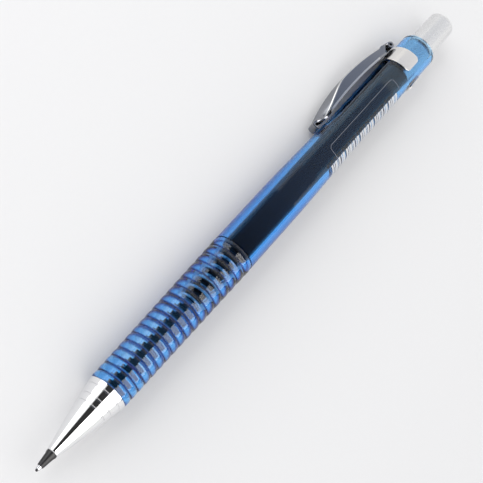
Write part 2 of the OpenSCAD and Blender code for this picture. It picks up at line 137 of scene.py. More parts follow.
class NoseSizes(PropertyGroup):
    cone_front: length("Cone front", "Diameter at the cone's front", 2.45)
    cone_rear: length("Cone rear", "Diameter at the cone's rear", 9.05)
    cone_swell: length("Cone swell", "How far the cone swells past a straight taper", 0.12)
    groove_w: length("Groove width", "Width of a turned groove", 0.36)
    groove_depth: length("Groove depth", "Depth of a turned groove", 0.2)
    shank: length("Shank", "Diameter of the shank over its thread", 7.44)
    thread_pitch: length("Thread pitch", "Pitch of the thread on the shank", 0.75)
    thread_depth: length("Thread depth", "Depth of the thread on the shank", 0.05)
    thread_turns: IntProperty(name="Thread turns", description="Turns of the thread", default=3)
    bush_bore: length("Bush bore", "Bore of the nose round the chuck's bush", 5.02)
    ring_bore: length("Ring bore", "Bore of the nose round the chuck's ring", 4.5)
    ring_from: length("Ring bore start", "Where that bore starts, from the lead's point", 14.55)
    jaw_bore: length("Jaw bore", "Bore of the nose round the chuck's jaws", 3.7)
    jaw_from: length("Jaw bore start", "Where that bore starts, from the lead's point", 10.6)
    seat_bore: length("Seat bore", "Bore of the nose round the lead retainer", 2.22)
    stub_bore: length("Stub bore", "Bore of the nose round the collar's stub", 1.58)
    collar_front: length("Collar front", "Diameter of the black collar at its front", 1.34)
    collar_waist: length("Collar waist", "Diameter of the black collar before its flare", 2.0)
    collar_flare: length("Collar flare", "Length of the black collar's flare", 0.9)
    collar_rear: length("Collar rear", "Diameter of the black collar behind its flare", 2.35)
    collar_stub: length("Collar stub", "Diameter of the black collar's stub in the cone", 1.56)
    lead_round: length("Lead rounding", "Rounding of the lead's worn point", 0.2)


class BarrelSizes(PropertyGroup):
    grip_len: length("Grip length", "Length of the ridged grip", 40.85)
    grip_front: length("Grip front", "Diameter of the first ridge", 9.05)
    grip_rear: length("Grip rear", "Diameter of the last ridge", 10.0)
    ridges: IntProperty(name="Ridges", description="Number of ridges on the grip", default=18)
    pitch_growth: share("Pitch growth", "Pitch of the last ridge over that of the first", 1.3)
    ridge_depth: length("Ridge depth", "Depth of the grooves between ridges", 0.3)
    shoulder: length("Shoulder", "Barrel diameter just behind the grip", 9.8)
    tail: length("Tail", "Barrel diameter at the clip", 8.75)
    taper_start: length("Taper start", "Where the taper starts behind the grip", 14.5)
    taper_len: length("Taper length", "Length of the taper", 30.0)
    rim_round: length("Rim rounding", "Rounding of the barrel's rear rim", 0.6)
    bore: length("Bore", "Bore of the barrel", 6.6)
    mouth: length("Mouth", "Bore of the barrel round the nose's shank", 7.5)


class FeedSizes(PropertyGroup):
    wire: length("Spring wire", "Diameter of the spring's wire", 0.45)
    coil: length("Spring coil", "Diameter of the spring at the middle of its wire", 5.1)
    coils: IntProperty(name="Coils", description="Coils of the spring between its two closed ends", default=10)
    stem: length("Feed stem", "Diameter of the feed stem", 4.0)
    stem_bore: length("Feed stem bore", "Bore of the feed stem", 1.4)
    chuck_seat: length("Chuck seat", "Bore of the feed stem round the chuck", 2.62)
    sleeve_front: length("Sleeve front", "Diameter of the guide sleeve in the nose's shank", 5.0)
    flange: length("Flange", "Thickness of the feed stem's flange", 1.2)
    tube_bore: length("Reservoir bore", "Bore of the lead reservoir", 4.6)
    neck: length("Reservoir neck", "Diameter of the reservoir's neck", 5.5)
    neck_len: length("Neck length", "Length of the reservoir's neck", 8.0)


class ButtonSizes(PropertyGroup):
    end_round: length("End rounding", "Rounding of the button's end", 0.8)
    end_wall: length("End wall", "Thickness of the button's end", 2.0)
    skirt_relief: length("Skirt relief", "How much thinner the button's skirt is", 0.2)
    skirt_step: length("Skirt step", "Skirt that shows behind the barrel", 0.3)
    eraser: length("Eraser", "Diameter of the eraser", 3.6)
    wall: length("Holder wall", "Wall of the eraser holder", 0.3)


class ClipSizes(PropertyGroup):
    length: length("Clip length", "Length from the front fold's middle to the rear end", 31.4)
    rise: length("Rise", "Height of the clip above the barrel", 4.15)
    arch: length("Arch", "Radius of the clip's arch", 55.0)
    front_w: length("Front width", "Width of the clip at its front", 3.0)
    rear_w: length("Rear width", "Width of the clip at its rear", 4.4)
    sheet: length("Sheet", "Thickness of the clip's sheet", 0.45)
    under_rise: length("Under rise", "Clear height under the clip's flanges", 1.7)
    lip: length("Lip", "Length of the lip folded under the front", 2.6)
    crease_run: length("Crease run", "Length over which the bend rises from the lower edge to the top", 13.0)
    bend: length("Bend", "Width of the rounded bend between web and flange", 0.5)
    flat: share("Flat", "How far the front fold stands out, as a share of a round one", 0.55)
    brim: length("Brim", "Width of the brim turned out along the flanges' lower edge", 0.45)
    flange_end: length("Flange end", "Distance of the flanges' rear ends ahead of the roll", 1.0)
    flange_fade: length("Flange fade", "Length over which the flanges' rear ends rise", 1.6)
    gap: length("Gap", "Gap between the clip and what it rests on", 0.05)
    band_t: length("Band sheet", "Thickness of the band", 0.4)
    band_gap: angle("Band opening", "Opening of the band", 64)
    band_turn: angle("Band turn", "Middle of the opening, turned from the clip", 217)
    band_round: length("Band rounding", "Rounding of the band's ends", 1.0)


class PrintSizes(PropertyGroup):
    start: length("Bars start", "Where the printed bars start, from the lead's point", 91.7)
    run: length("Bars run", "Length over which the bars run", 26.6)
    module: length("Module", "Width of the narrowest bar", 0.2)
    bars_from: angle("Bars from", "Turn from the clip to the bars' first ends", 130)
    bars_to: angle("Bars to", "Turn from the clip to the bars' other ends", 200)
    frame_start: length("Frame start", "Where the frame starts, from the lead's point", 94.2)
    frame_run: length("Frame run", "Length of the frame", 25.4)
    frame_from: angle("Frame from", "Turn from the clip to the frame's first side", 87)
    frame_to: angle("Frame to", "Turn from the clip to the frame's other side", 206)
    frame_round: length("Frame rounding", "Rounding of the frame's corners", 1.1)
    line: length("Line", "Width of the frame's line", 0.08)
    film: length("Film", "Thickness of the printed film", 0.02)


class Colours(PropertyGroup):
    barrel: colour("Barrel", "Tint of the clear barrel", (1.0, 1.0, 1.0))
    barrel_depth: colour("Barrel depth", "Colour that the barrel takes on with thickness", (0.0, 0.62, 0.98))
    barrel_density: share("Barrel density", "How fast the barrel takes on that colour, per metre", 640.0)
    barrel_front: colour("Barrel front", "Tint of the barrel's thin front end", (0.46, 0.76, 0.96))
    # Painted shade: this navy colour in the grip's grooves stands in for the shade that falls in them
    groove: colour("Grooves", "Tint in the grip's grooves", (0.01, 0.05, 0.22))
    chrome: colour("Chrome", "Plated nose and sleeve", (0.83, 0.83, 0.84))
    black: colour("Black", "Black plastic of the tip and feed", (0.008, 0.008, 0.01))
    clip: colour("Clip", "Dark plating of the clip", (0.28, 0.29, 0.315))
    # Painted highlight: a brighter metal for the clip's bend and brim, standing in for the light they catch
    clip_painted_highlight: colour("Clip edge", "Bright plating on the clip's bend and brim", (0.66, 0.66, 0.65))
    band: colour("Band", "Satin steel of the band", (0.80, 0.78, 0.76))
    button: colour("Button", "Satin silver of the button", (0.76, 0.76, 0.765))
    steel: colour("Steel", "Bare steel of the wire and tube", (0.62, 0.63, 0.65))
    brass: colour("Brass", "Brass of the chuck", (0.72, 0.50, 0.20))
    graphite: colour("Graphite", "Lead", (0.055, 0.055, 0.06))
    rubber: colour("Rubber", "Rubber of the lead retainer", (0.10, 0.02, 0.02))
    eraser: colour("Eraser", "Eraser", (0.82, 0.81, 0.78))
    ink: colour("Ink", "White printing", (0.86, 0.87, 0.89))
    line: colour("Line", "Thin line of the print", (0.30, 0.31, 0.36))
    floor: colour("Floor", "Table top", (0.86, 0.86, 0.87))


class StageSettings(PropertyGroup):
    lens: FloatProperty(name="Lens", description="Focal length of the camera", default=89.4, unit="CAMERA")
    aim: length("Aim", "Place along the pencil that the camera looks at, from the lead's point", 64.9)
    aside: length("Aside", "How far the camera stands aside from the pencil, towards the clip", 0.4)
    distance: length("Distance", "Distance of the camera", 255.0)
    lean: angle("Lean", "How far the view leans along the pencil", 26.4)
    slope: angle("Slope", "Slope of the pencil in the picture", 47.75)
    clip_side: angle("Clip side", "Turn about the pencil from the camera to the clip", 88)
    ambient: share("Ambient", "Strength of the light from all round", 0.79)
    key: FloatProperty(name="Key", description="Power of the large soft lamp", default=3.3, unit="POWER")
    fill: FloatProperty(name="Fill", description="Power of the small soft lamp", default=0.5, unit="POWER")


# Modelling by hand

def begin(name, start):
    """Adds a piece that is one point, and opens it for editing."""
    bpy.ops.object.select_all(action="DESELECT")
    bpy.ops.mesh.primitive_plane_add(size=MM, location=start)
    piece = bpy.context.object
    piece.name = piece.data.name = name
    bpy.ops.object.transform_apply(location=True, rotation=True, scale=True)
    bpy.ops.object.mode_set(mode="EDIT")
    bpy.ops.mesh.select_mode(type="VERT")
    bpy.ops.mesh.merge(type="CENTER")
    return piece


def draw(points):
    """Extrudes the selected point from each point to the next."""
    for here, there in zip(points, points[1:]):
        bpy.ops.mesh.extrude_vertices_move(TRANSFORM_OT_translate={"value": there - here})


def pick(piece, test):
    """Selects the points that pass a test of their place, and what lies between them."""
    bpy.ops.mesh.select_mode(type="VERT")
    bpy.ops.mesh.select_all(action="DESELECT")
    mesh = bmesh.from_edit_mesh(piece.data)
    for vertex in mesh.verts:
        vertex.select = test(vertex.co)
    mesh.select_flush_mode()
    bmesh.update_edit_mesh(piece.data)


def pick_points(piece, numbers):
    """Selects points by their numbers."""
    bpy.ops.mesh.select_mode(type="VERT")
    bpy.ops.mesh.select_all(action="DESELECT")
    mesh = bmesh.from_edit_mesh(piece.data)
    mesh.verts.ensure_lookup_table()
    for number in numbers:
        mesh.verts[number].select = True
    mesh.select_flush_mode()
    bmesh.update_edit_mesh(piece.data)


def pick_edges(piece, test):
    """Selects the edges that pass a test."""
    bpy.ops.mesh.select_mode(type="EDGE")
    bpy.ops.mesh.select_all(action="DESELECT")
    mesh = bmesh.from_edit_mesh(piece.data)
    for edge in mesh.edges:
        edge.select = test(edge)
    mesh.select_flush_mode()
    bmesh.update_edit_mesh(piece.data)


def merge_doubles():
    bpy.ops.mesh.select_all(action="SELECT")
    bpy.ops.mesh.remove_doubles(threshold=DOUBLES)


def face_out():
    """Merges doubles and turns every face outwards."""
    merge_doubles()
    bpy.ops.mesh.select_all(action="SELECT")
    bpy.ops.mesh.normals_make_consistent(inside=False)


def close():
    bpy.ops.object.mode_set(mode="OBJECT")


def only(piece):
    """Makes a piece the only selected one."""
    bpy.ops.object.select_all(action="DESELECT")
    piece.select_set(True)
    bpy.context.view_layer.objects.active = piece


def modify(piece, kind, **settings):
    """Adds a modifier with its settings and applies it."""
    only(piece)
    modifier = piece.modifiers.new(kind.title(), kind)
    for name, value in settings.items():
        setattr(modifier, name, value)
    bpy.ops.object.modifier_apply(modifier=modifier.name)


def round_edges(piece, width, segments=2, least=40):
    """Rounds every edge that is sharper than an angle."""
    modify(
        piece, "BEVEL", width=width, segments=segments, limit_method="ANGLE",
        angle_limit=math.radians(least), harden_normals=False, use_clamp_overlap=True,
    )


def join(piece, *others):
    """Joins other pieces into one."""
    only(piece)
    for other in others:
        other.select_set(True)
    bpy.ops.object.join()


def settle(piece, finish, body, nodes=(), smooth=35):
    """Applies a piece's place, shades it smooth, gives it its finish, hangs it under its body, and hides the
    nodes that it stands for.
    """
    only(piece)
    bpy.ops.object.transform_apply(location=True, rotation=True, scale=True)
    bpy.ops.object.shade_smooth_by_angle(angle=math.radians(smooth))
    modify(piece, "WEIGHTED_NORMAL", keep_sharp=True, weight=80)
    if finish:
        piece.data.materials.append(finish)
    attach(piece, body)
    if nodes:
        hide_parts(*nodes)


def lathe(name, outline, steps=96):
    """Spins an outline of places and radii round the pencil's axis."""
    points = [on_axis(x, r) for x, r in outline]
    if outline[0][1] > 0:
        points.append(points[0])
    piece = begin(name, points[0])
    draw(points)
    merge_doubles()
    bpy.ops.mesh.select_all(action="SELECT")
    bpy.ops.mesh.spin(steps=steps, angle=math.tau, center=on_axis(0, 0), axis=(1, 0, 0))
    face_out()
    close()
    return piece


def helix(name, outline, pitch, turns, steps=48):
    """Winds a closed outline of places and radii round the pencil's axis."""
    points = [on_axis(x, r) for x, r in outline]
    piece = begin(name, points[0])
    draw(points + points[:1])
    merge_doubles()
    close()
    bpy.context.scene.cursor.location = on_axis(0, 0)
    bpy.ops.object.origin_set(type="ORIGIN_CURSOR")
    modify(
        piece, "SCREW", axis="X", angle=math.tau, screw_offset=pitch, iterations=turns,
        steps=steps, render_steps=steps, use_smooth_shade=False,
    )
    bpy.ops.object.transform_apply(location=True, rotation=True, scale=True)
    return piece


def cap_ends(piece):
    """Closes the open ends of a piece."""
    only(piece)
    bpy.ops.object.mode_set(mode="EDIT")
    merge_doubles()
    bpy.ops.mesh.select_all(action="SELECT")
    bpy.ops.mesh.fill_holes(sides=0)
    face_out()
    close()


def arc(x, r, size, start, stop, steps=8):
    """Points of a rounded corner, about a middle at a place and radius."""
    turns = [blend(start, stop, i / steps) for i in range(steps + 1)]
    return [(x + size * math.sin(t), r + size * math.cos(t)) for t in turns]


# Finishes

class Value:
    """A value in a finish's nodes that Python's operators work on."""

    def __init__(self, finish, socket):
        self.finish = finish
        self.socket = socket

    def math(self, operation, a, b):
        return self.finish.node("ShaderNodeMath", {"operation": operation}, {0: a, 1: b})

    def __add__(self, other):
        return self.math("ADD", self, other)

    def __sub__(self, other):
        return self.math("SUBTRACT", self, other)

    def __rsub__(self, other):
        return self.math("SUBTRACT", other, self)

    def __mul__(self, other):
        return self.math("MULTIPLY", self, other)

    def __truediv__(self, other):
        return self.math("DIVIDE", self, other)

    def __pow__(self, other):
        return self.math("POWER", self, other)

    __radd__ = __add__
    __rmul__ = __mul__


class Finish:
    """A node tree of a material or the world, built from Python."""

    def __init__(self, owner):
        self.owner = owner
        owner.use_nodes = True
        self.tree = owner.node_tree

    def node(self, kind, settings=None, inputs=None, out=0):
        """Adds a node, sets it up, gives it its inputs, and returns one of its outputs."""
        made = self.tree.nodes.new(kind)
        for name, value in (settings or {}).items():
            setattr(made, name, value)
        for name, value in (inputs or {}).items():
            self.feed(made.inputs[name], value)
        return Value(self, made.outputs[out])

    def feed(self, socket, value):
        """Links a value to a socket, or sets the socket."""
        if isinstance(value, Value):
            self.tree.links.new(value.socket, socket)
        elif hasattr(value, "__len__") and len(value) == 3 and socket.type == "RGBA":
            socket.default_value = (*value, 1.0)
        else:
            socket.default_value = value

    def place(self, stretch=(1.0, 1.0, 1.0)):
        """Object coordinates, scaled by stretch."""
        coords = self.node("ShaderNodeTexCoord", out="Object")
        return self.node("ShaderNodeMapping", {}, {"Vector": coords, "Scale": stretch})

    def noise(self, scale, detail=3.0, stretch=(1.0, 1.0, 1.0)):
        """Noise from 0 to 1 with its size in waves per metre."""
        return self.node(
            "ShaderNodeTexNoise", {"noise_dimensions": "3D"},
            {"Vector": self.place(stretch), "Scale": scale, "Detail": detail, "Roughness": 0.55},
        )

    def tint(self, amount, low, high):
        """Colour between two colours."""
        return self.node(
            "ShaderNodeMix", {"data_type": "RGBA"}, {0: amount, 6: low, 7: high}, out=2,
        )

    def ramp(self, value, start, stop):
        """Number that goes smoothly from 0 at start to 1 at stop."""
        return self.node(
            "ShaderNodeMapRange", {"interpolation_type": "SMOOTHSTEP"},
            {"Value": value, "From Min": start, "From Max": stop},
        )

    def bump(self, height, depth):
        """Normal from a height between 0 and 1, with its depth in metres."""
        return self.node("ShaderNodeBump", {}, {"Strength": 1.0, "Distance": depth, "Height": height})

    def shade(self, **sockets):
        """Sets sockets of the Principled shader, named with underscores."""
        shader = self.tree.nodes["Principled BSDF"]
        for name, value in sockets.items():
            self.feed(shader.inputs[name.replace("_", " ")], value)
        return self.owner


def new_finish(name):
    return Finish(bpy.data.materials.new(name))


def darker(shade, share_left):
    return tuple(part * share_left for part in shade)


def metal(name, shade, rough, streak=(1.0, 1.0, 1.0), scale=3000.0, wear=0.85, depth=0.0):
    """Metal with fine streaks in its gloss, its colour and, where asked, its relief."""
    finish = new_finish(name)
    grain = finish.noise(scale, 4.0, streak)
    cloud = finish.noise(140.0, 2.0)
    sockets = {
        "Base_Color": finish.tint(cloud, darker(shade, wear), tuple(shade)),
        "Roughness": rough * (0.7 + 0.6 * grain),
        "Metallic": 1.0,
    }
    if depth:
        sockets["Normal"] = finish.bump(grain, depth)
    return finish.shade(**sockets)


def plastic(name, shade, rough, depth=3e-7, scale=2500.0, gloss=0.5):
    """Moulded plastic with a fine texture."""
    finish = new_finish(name)
    grain = finish.noise(scale, 3.0)
    cloud = finish.noise(180.0, 2.0)
    return finish.shade(
        Base_Color=finish.tint(cloud, darker(shade, 0.7), tuple(shade)),
        Roughness=rough * (0.75 + 0.5 * grain),
        Normal=finish.bump(grain, depth),
        Specular_IOR_Level=gloss,
    )


def clear_blue(name, sizes, shades):
    """Clear plastic that turns a deeper blue with thickness, with painted shade that makes the grip's grooves
    nearly navy.
    """
    finish = new_finish(name)
    ripple = finish.noise(260.0, 2.0, (0.4, 1.0, 1.0))
    coords = finish.node("ShaderNodeTexCoord", out="Object")
    x, y, z = (finish.node("ShaderNodeSeparateXYZ", {}, {0: coords}, out=i) for i in range(3))
    off_axis = ((y - AXIS_Y) * (y - AXIS_Y) + (z - AXIS_Z) * (z - AXIS_Z)) ** 0.5
    start, stop = front("barrel"), front("barrel") + sizes.grip_len
    slope = (sizes.grip_rear - sizes.grip_front) / 2 / sizes.grip_len
    # Painted shade: a mask of the grip's grooves, where the colour turns nearly navy
    depth = ((x - start) * slope + sizes.grip_front / 2 - off_axis) / sizes.ridge_depth
    groove = finish.ramp(depth, 0.24, 0.60) * (1.0 - finish.ramp(depth, 1.3, 1.5))
    groove *= finish.ramp(x, stop + 0.1 * MM, stop)
    tint = finish.tint(ripple, darker(shades.barrel, 0.96), tuple(shades.barrel))
    # The wall is thinner over the nose's shank
    thin = finish.ramp(x, rear("nose_cone") + 0.3 * MM, rear("nose_cone") - 0.3 * MM)
    tint = finish.tint(thin, tint, tuple(shades.barrel_front))
    finish.shade(
        Base_Color=finish.tint(groove, tint, tuple(shades.groove)),
        Roughness=0.015 + 0.02 * finish.noise(1500.0, 3.0),
        Normal=finish.bump(ripple, 1.5e-6),
        IOR=1.49,
        Transmission_Weight=1.0,
    )
    haze = finish.node(
        "ShaderNodeVolumeAbsorption", {},
        {"Color": tuple(shades.barrel_depth), "Density": shades.barrel_density},
    )
    finish.feed(finish.tree.nodes["Material Output"].inputs["Volume"], haze)
    return finish.owner


def dress(node, finish):
    """Gives a carried-over solid its finish."""
    solid = frame["nodes"][node]
    solid.data.materials.clear()
    solid.data.materials.append(finish)


# Operators

class PENCIL_OT_nose(Operator):
    """Turns the chrome cone with its thread, the black collar, the steel tube and the lead"""
    bl_idname = "pencil.nose"
    bl_label = "Nose"

    def cone_radius(self, sizes, x):
        t = (x - front("nose_cone")) / (front("barrel") - front("nose_cone"))
        return blend(sizes.cone_front, sizes.cone_rear, t) / 2 + sizes.cone_swell * 4 * t * (1 - t)

    def cone_outline(self, sizes):
        """Outside of the cone with its grooves, from the front to the grip."""
        start, stop = front("nose_cone"), front("barrel")
        half, slope = sizes.groove_w / 2, 0.06 * MM
        grooves = [stop - ahead * MM for ahead in (5.05, 3.45, 1.35)]
        places = [blend(start, stop, i / 28) for i in range(29)]
        outline = [
            (x, self.cone_radius(sizes, x)) for x in places
            if all(abs(x - groove) > 1.2 * half for groove in grooves)
        ]
        for groove in grooves:
            for x, drop in ((-half, 0), (slope - half, 1), (half - slope, 1), (half, 0)):
                r = self.cone_radius(sizes, groove + x)
                outline.append((groove + x, r - drop * sizes.groove_depth))
        return sorted(outline)

    def execute(self, context):
        sizes = context.scene.pencil_nose
        shades = context.scene.pencil_colours
        x_cone, x_grip, x_end = front("nose_cone"), front("barrel"), rear("nose_cone")
        crest = sizes.shank / 2
        root, chamfer, sunk = crest - sizes.thread_depth, 0.3 * MM, 0.05 * MM
        bores = (
            (x_end, front("chuck_bush"), sizes.bush_bore),
            (front("chuck_bush"), TIP + sizes.ring_from, sizes.ring_bore),
            (TIP + sizes.ring_from, TIP + sizes.jaw_from, sizes.jaw_bore),
            (TIP + sizes.jaw_from, rear("tip_collar"), sizes.seat_bore),
            (rear("tip_collar"), x_cone, sizes.stub_bore),
        )
        outline = self.cone_outline(sizes)
        outline += [(x_grip, root), (x_end - chamfer, root), (x_end, root - chamfer)]
        for start, stop, wide in bores:
            outline += [(start, wide / 2), (stop, wide / 2)]
        cone = lathe("turned_nose", outline, 128)
        round_edges(cone, 0.035 * MM)
        pitch = sizes.thread_pitch
        x0 = x_end - (sizes.thread_turns + 1.5) * pitch
        ridge = [
            (x0 + run * pitch, r) for run, r in ((0.0, root - sunk), (0.5, crest), (0.9, root - sunk))
        ]
        thread = helix("shank_thread", ridge, pitch, sizes.thread_turns)
        cap_ends(thread)
        join(cone, thread)
        chrome = metal("nose chrome", shades.chrome, 0.07, (9.0, 0.4, 0.4), 2600.0, 0.95, 6e-7)
        settle(cone, chrome, "nose_shell", ["nose_cone"])

        inner = radius("lead_sleeve") + 0.01 * MM
        x0, x1 = front("tip_collar"), x_cone
        collar = lathe("black_tip", [
            (x0, inner), (x0, sizes.collar_front / 2), (x1 - sizes.collar_flare, sizes.collar_waist / 2),
            (x1 - sizes.collar_flare / 3, sizes.collar_rear / 2), (x1, sizes.collar_rear / 2),
            (x1, sizes.collar_stub / 2), (rear("tip_collar"), sizes.collar_stub / 2), (rear("tip_collar"), inner),
        ], 64)
        round_edges(collar, 0.06 * MM, 3, 25)
        settle(collar, plastic("tip black", shades.black, 0.32), "nose_core", ["tip_collar"])

        x0, x1, r = front("lead_sleeve"), rear("lead_sleeve"), radius("lead_sleeve")
        hole = radius("lead") + 0.03 * MM
        pipe = lathe("lead_pipe", [(x0, hole), (x0, r), (x1, r), (x1, hole)], 48)
        round_edges(pipe, 0.05 * MM, 3)
        steel = metal("tube steel", shades.steel, 0.22, (6.0, 0.5, 0.5))
        settle(pipe, steel, "nose_core", ["lead_sleeve"])

        r, soft = radius("lead"), sizes.lead_round
        point = [(TIP, 0.0), (TIP, r - soft)] + arc(TIP + soft, r - soft, soft, -math.pi / 2, 0)[1:]
        lead = lathe("lead_point", point + [(rear("lead"), r), (rear("lead"), 0.0)], 32)
        graphite = metal("graphite", shades.graphite, 0.42, (0.3, 1.0, 1.0), 6000.0, 0.7)
        settle(lead, graphite, "lead_stick", ["lead"])
        return {"FINISHED"}


class PENCIL_OT_barrel(Operator):
    """Turns the clear blue barrel with its ridged grip"""
    bl_idname = "pencil.barrel"
    bl_label = "Barrel"

    def grip(self, sizes):
        """Ridges of the grip, each half an ellipse between two grooves."""
        x_grip = front("barrel")
        first = 2 * sizes.grip_len / (sizes.ridges * (1 + sizes.pitch_growth))
        step = first * (sizes.pitch_growth - 1) / (sizes.ridges - 1)
        outline = []
        for i in range(sizes.ridges):
            x, pitch = x_grip + i * first + step * i * (i - 1) / 2, first + step * i
            top = blend(sizes.grip_front, sizes.grip_rear, (x + pitch / 2 - x_grip) / sizes.grip_len) / 2
            for k in range(14):
                turn = math.pi * k / 14
                lift = math.sin(turn) if k else 0.12
                outline.append((x + pitch * (1 - math.cos(turn)) / 2, top - sizes.ridge_depth * (1 - lift)))
        return outline

    def execute(self, context):
        sizes = context.scene.pencil_barrel
        shades = context.scene.pencil_colours
        x_grip, x_end = front("barrel"), rear("barrel")
        x_back, x_shank = x_grip + sizes.grip_len, rear("nose_cone")
        outline = self.grip(sizes) + [(x_back, sizes.shoulder / 2)]
        for i in range(31):
            x = x_back + sizes.taper_start + sizes.taper_len * i / 30
            outline.append((x, blend(sizes.shoulder, sizes.tail, ease(i / 30)) / 2))
        soft, bore, mouth = sizes.rim_round, sizes.bore / 2, sizes.mouth / 2
        outline += arc(x_end - soft, sizes.tail / 2 - soft, soft, 0, math.pi / 2)
        chamfer = 0.15 * MM
        outline += [(x_end, bore + chamfer), (x_end - chamfer, bore), (x_shank, bore), (x_shank, mouth)]
        outline += [(x_grip + chamfer, mouth), (x_grip, mouth + chamfer)]
        barrel = lathe("blue_barrel", outline, 128)
        blue = clear_blue("barrel blue", sizes, shades)
        settle(barrel, blue, "barrel_body", ["barrel"], 50)
        return {"FINISHED"}


class PENCIL_OT_feed(Operator):
    """Turns the guide sleeve, the feed stem and the lead reservoir, and winds the spring"""
    bl_idname = "pencil.feed"
    bl_label = "Feed"

    def spring(self, sizes):
        """Wire with a closed coil at each end."""
        x0, x1 = front("spring") + 0.02 * MM, rear("spring") - 0.02 * MM
        r, wire = sizes.coil / 2, sizes.wire / 2
        shut = sizes.wire + 0.03 * MM
        pitch = (x1 - x0 - sizes.wire - 2 * shut) / sizes.coils
        ring = [math.tau * i / 14 for i in range(14)]
        parts, x = [], x0 + wire
        stretches = (("spring_front", shut, 1), ("spring_coils", pitch, sizes.coils), ("spring_rear", shut, 1))
        for name, rise, turns in stretches:
            outline = [(x + wire * math.cos(t), r + wire * math.sin(t)) for t in ring]
            parts.append(helix(name, outline, rise, turns, 40))
            x += rise * turns
        join(*parts)
        parts[0].name = parts[0].data.name = "return_spring"
        cap_ends(parts[0])
        return parts[0]

    def execute(self, context):
        sizes = context.scene.pencil_feed
        shades = context.scene.pencil_colours
        x0, x1, x_shank = front("guide_sleeve"), rear("guide_sleeve"), rear("nose_cone")
        inner, r = sizes.stem / 2 + 0.05 * MM, radius("guide_sleeve")
        sleeve = lathe("inner_sleeve", [
            (x0, inner), (x0, sizes.sleeve_front / 2), (x_shank, sizes.sleeve_front / 2),
            (x_shank, r), (x1, r), (x1, inner),
        ], 128)
        round_edges(sleeve, 0.12 * MM, 3)
        chrome = metal("sleeve chrome", shades.chrome, 0.08, (9.0, 0.4, 0.4), 2600.0, 0.95, 6e-7)
        settle(sleeve, chrome, "barrel_body", ["guide_sleeve"])

        wound = self.spring(sizes)
        steel = metal("spring steel", shades.chrome, 0.28, (1.0, 1.0, 1.0), 4000.0)
        settle(wound, steel, "barrel_body", ["spring"])
        press = next(joint for joint in frame["joints"] if joint["name"] == "button_press")
        whole = rear("spring") - front("spring")
        keep = (whole - press["range_m"][1]) / whole
        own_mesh(wound)

        x_feed, x_end, x_tube = front("feed_stem"), rear("feed_stem"), front("lead_tube")
        stem, bore, tube = sizes.stem / 2, sizes.stem_bore / 2, radius("lead_tube")
        plug, seat = sizes.tube_bore / 2 - 0.01 * MM, sizes.chuck_seat / 2
        rod = lathe("feed_rod", [
            (x_feed, seat), (x_feed, stem), (x_tube - sizes.flange, stem), (x_tube - sizes.flange, tube),
            (x_tube, tube), (x_tube, plug), (x_end, plug), (x_end, plug - 0.3 * MM), (x_tube, bore),
            (rear("chuck"), bore), (rear("chuck"), seat),
        ])
        round_edges(rod, 0.08 * MM)
        black = plastic("feed black", shades.black, 0.12, 1e-7, 2500.0, 0.2)
        settle(rod, black, "plunger", ["feed_stem"])

        x0, x1 = front("lead_tube"), rear("lead_tube")
        bore, neck, x_neck = sizes.tube_bore / 2, sizes.neck / 2, x1 - sizes.neck_len
        store = lathe("lead_store", [
            (x0, bore), (x0, tube), (x_neck, tube), (x_neck, neck), (x1, neck), (x1, bore),
        ])
        round_edges(store, 0.08 * MM)
        black = plastic("store black", shades.black, 0.06, 1e-7, 2500.0, 0.08)
        settle(store, black, "plunger", ["lead_tube"])
        return {"FINISHED"}


class PENCIL_OT_button(Operator):
    """Turns the push button, the eraser and its holder"""
    bl_idname = "pencil.button"
    bl_label = "Button"

    def execute(self, context):
        sizes = context.scene.pencil_button
        feed = context.scene.pencil_feed
        shades = context.scene.pencil_colours
        x0, x1, r = front("button"), rear("button"), radius("button")
        lip, neck = rear("lead_tube") + 2 * sizes.wall, feed.neck / 2 + 0.05 * MM
        room, soft = feed.tube_bore / 2 + 0.05 * MM, sizes.end_round
        x_step, skirt = rear("barrel") + sizes.skirt_step, r - sizes.skirt_relief
        outline = [(x0, neck), (x0, skirt), (x_step, skirt), (x_step, r)]
        outline += arc(x1 - soft, r - soft, soft, 0, math.pi / 2)
        dish = [(x1, 0.55 * r), (x1 - 0.12 * MM, 0.4 * r), (x1 - 0.18 * MM, 0.0)]
        cap = lathe("push_button", [
            (x1 - sizes.end_wall, 0.0), (x1 - sizes.end_wall, room), (lip, room), (lip, neck),
        ] + outline + dish, 128)
        round_edges(cap, 0.06 * MM)
        silver = metal("button silver", shades.button, 0.28, (0.25, 1.0, 1.0), 5000.0, 0.94)
        settle(cap, silver, "button_cap", ["button"])

        x0, x1, r = front("eraser_holder"), rear("eraser_holder"), feed.tube_bore / 2 - 0.01 * MM
        x_neck, hole = rear("lead_tube"), sizes.eraser / 2 + 0.01 * MM
        pin, floor = 0.21 * MM, x0 + sizes.wall
        cup = lathe("eraser_cup", [
            (x0, pin), (x0, r), (x_neck, r), (x_neck, feed.neck / 2), (x_neck + sizes.wall, feed.neck / 2),
            (x_neck + sizes.wall, r), (x1, r), (x1, hole), (floor, hole), (floor, pin),
        ])
        round_edges(cup, 0.05 * MM)
        steel = metal("cup steel", shades.steel, 0.25, (0.4, 1.0, 1.0))
        settle(cup, steel, "plunger", ["eraser_holder"])

        x0, x1, r = front("eraser"), rear("eraser"), sizes.eraser / 2
        soft = 0.35 * MM
        outline = [(x0, 0.0), (x0, r)] + arc(x1 - soft, r - soft, soft, 0, math.pi / 2) + [(x1, 0.0)]
        stub = lathe("eraser_stub", outline, 64)
        white = plastic("eraser white", shades.eraser, 0.75, 3e-6, 1800.0)
        settle(stub, white, "plunger", ["eraser"])
        return {"FINISHED"}


